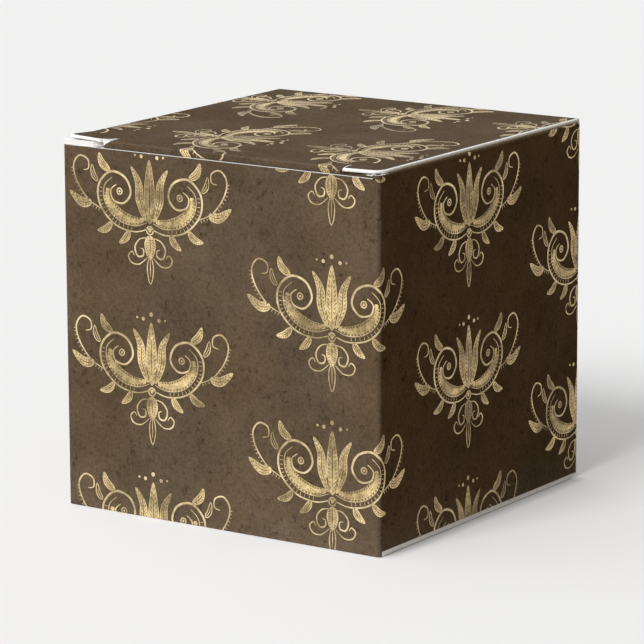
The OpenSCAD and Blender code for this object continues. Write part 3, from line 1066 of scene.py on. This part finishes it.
# The floor's colour as it is seen, as it lights the box, and as it does so close to the foot
FLOOR_SEEN = (0.643, 0.625, 0.603, 1.0)
FLOOR_LIGHTING = (0.39, 0.29, 0.165, 1.0)
FLOOR_AT_FOOT = (0.98, 0.96, 0.94, 1.0)
GLOW_ENDS = HALF_BOX + 0.5 * MM, HALF_BOX + 8.0 * MM
# Painted contact shadow on the floor beside the right and back sides: how far out it reaches, and where it
# fades along each side
CONTACT_REACH = 2.2 * MM
CONTACT_ENDS = HALF_BOX - 2.0 * MM, HALF_BOX + 0.3 * MM
FLOOR_LIFT = (0.24, 0.24, 0.24, 1.0)
NO_LIGHT = (0.0, 0.0, 0.0, 1.0)
KEY_TURN, KEY_RISE, KEY_SOFTNESS = math.radians(-5), math.radians(43), math.radians(26)
KEY_LIGHT = 0.75
KEY_COLOUR = (1.0, 1.02, 1.05)
SKY_BRIGHT, SKY_DIM = (0.94, 0.985, 1.05, 1.0), (0.065, 0.04, 0.012, 1.0)
SKY_BRIGHT_SIDE = Vector((-0.62, -0.58, 0.53)).normalized()
SKY_FADE = -0.1, 0.9
ROOM_SEEN = (0.80, 0.79, 0.78, 1.0)


def way_out(turn, rise):
    """Direction out from the box, turned from its front and raised."""
    return Vector((math.sin(turn) * math.cos(rise), -math.cos(turn) * math.cos(rise), math.sin(rise)))


def seen_directly(tree):
    """1 where the camera, a gloss or a clear piece shows the surface, and 0 where it only lights others."""
    path = add(tree, "LightPath").outputs
    seen = maths(tree, "ADD", path["Is Camera Ray"], path["Is Glossy Ray"])
    return maths(tree, "MINIMUM", maths(tree, "ADD", seen, path["Is Transmission Ray"]), 1.0)


def contact_shade(tree, out_from_side, along_side):
    """Painted contact shadow: 1 close beside one side of the box, fading outwards and at the side's ends."""
    away = maths(tree, "ABSOLUTE", maths(tree, "SUBTRACT", out_from_side, HALF_BOX))
    close = ramp(tree, away, 1.0, 0.0, 0.0, CONTACT_REACH)
    beside = ramp(tree, maths(tree, "ABSOLUTE", along_side), 1.0, 0.0, *CONTACT_ENDS)
    return maths(tree, "MULTIPLY", close, beside)


def pale_floor():
    """The floor: pale where it is seen, warm and darker where it lights the box, with a painted shadow where
    they touch.
    """
    bpy.ops.mesh.primitive_plane_add(size=FLOOR_SIZE, location=(0, 0, -FLOOR_BELOW))
    floor = in_hand()
    floor.name = "floor"
    made, tree, shader = finish_material("pale floor", specular=0.0, Roughness=1.0)
    seen = seen_directly(tree)
    at = add(tree, "SeparateXYZ", {0: place_of(tree)}).outputs
    reach = maths(tree, "MAXIMUM", maths(tree, "ABSOLUTE", at[0]), maths(tree, "ABSOLUTE", at[1]))
    lighting = blend_colour(tree, ramp(tree, reach, 0.0, 1.0, *GLOW_ENDS), FLOOR_AT_FOOT, FLOOR_LIGHTING)
    # The seen floor's lift is cut beside the right and back sides: painted contact shadow
    contact = maths(tree, "MAXIMUM", contact_shade(tree, at[0], at[1]), contact_shade(tree, at[1], at[0]))
    lifted = maths(tree, "MULTIPLY", seen, maths(tree, "SUBTRACT", 1.0, contact))
    fill(tree, shader, {"Base Color": blend_colour(tree, seen, lighting, FLOOR_SEEN), "Emission Strength": 1.0,
                        "Emission Color": blend_colour(tree, lifted, NO_LIGHT, FLOOR_LIFT)})
    finish_with(floor, made)


def soft_light():
    """A large soft key from the front, and a room that is brighter in front and to the left.

    Seen straight or in a gloss, the room is pale all round, as the floor is.
    """
    world = bpy.data.worlds.new("soft room light")
    bpy.context.scene.world = world
    world.use_nodes = True
    tree = world.node_tree
    facing = add(tree, "VectorMath", {0: add(tree, "TexCoord").outputs["Generated"], 1: SKY_BRIGHT_SIDE},
                 operation="DOT_PRODUCT").outputs["Value"]
    sky = blend_colour(tree, ramp(tree, facing, 0.0, 1.0, *SKY_FADE), SKY_DIM, SKY_BRIGHT)
    room = blend_colour(tree, seen_directly(tree), sky, ROOM_SEEN)
    tree.links.new(room, tree.nodes["Background"].inputs["Color"])
    bpy.ops.object.light_add(type="SUN")
    key = in_hand()
    key.name = "soft key light"
    key.data.energy = KEY_LIGHT * math.pi
    key.data.angle = KEY_SOFTNESS
    key.data.color = KEY_COLOUR
    key.rotation_euler = way_out(KEY_TURN, KEY_RISE).to_track_quat("Z", "Y").to_euler()


def photo_camera():
    """The camera of the photograph, turned, raised and rolled about the middle of the box."""
    turn, rise, roll = math.radians(33.973), math.radians(12.182), math.radians(-0.226)
    distance, aim_right, aim_up = 534.64 * MM, -0.513 * MM, -1.582 * MM
    back = way_out(turn, rise)
    level = Vector((math.cos(turn), math.sin(turn), 0))
    rising = back.cross(level)
    right = level * math.cos(roll) + rising * math.sin(roll)
    up = rising * math.cos(roll) - level * math.sin(roll)
    aim = Z * BOX_HEIGHT / 2 + right * aim_right + up * aim_up
    bpy.ops.object.camera_add()
    camera = in_hand()
    camera.data.lens = 217.65
    camera.data.sensor_width = 36
    camera.data.clip_start, camera.data.clip_end = 0.01, 20
    facing = Matrix((right, up, back)).transposed().to_4x4()
    camera.matrix_world = Matrix.Translation(aim + back * distance) @ facing
    bpy.context.scene.camera = camera


pale_floor()
soft_light()
photo_camera()
bpy.context.scene.view_settings.view_transform = "Standard"
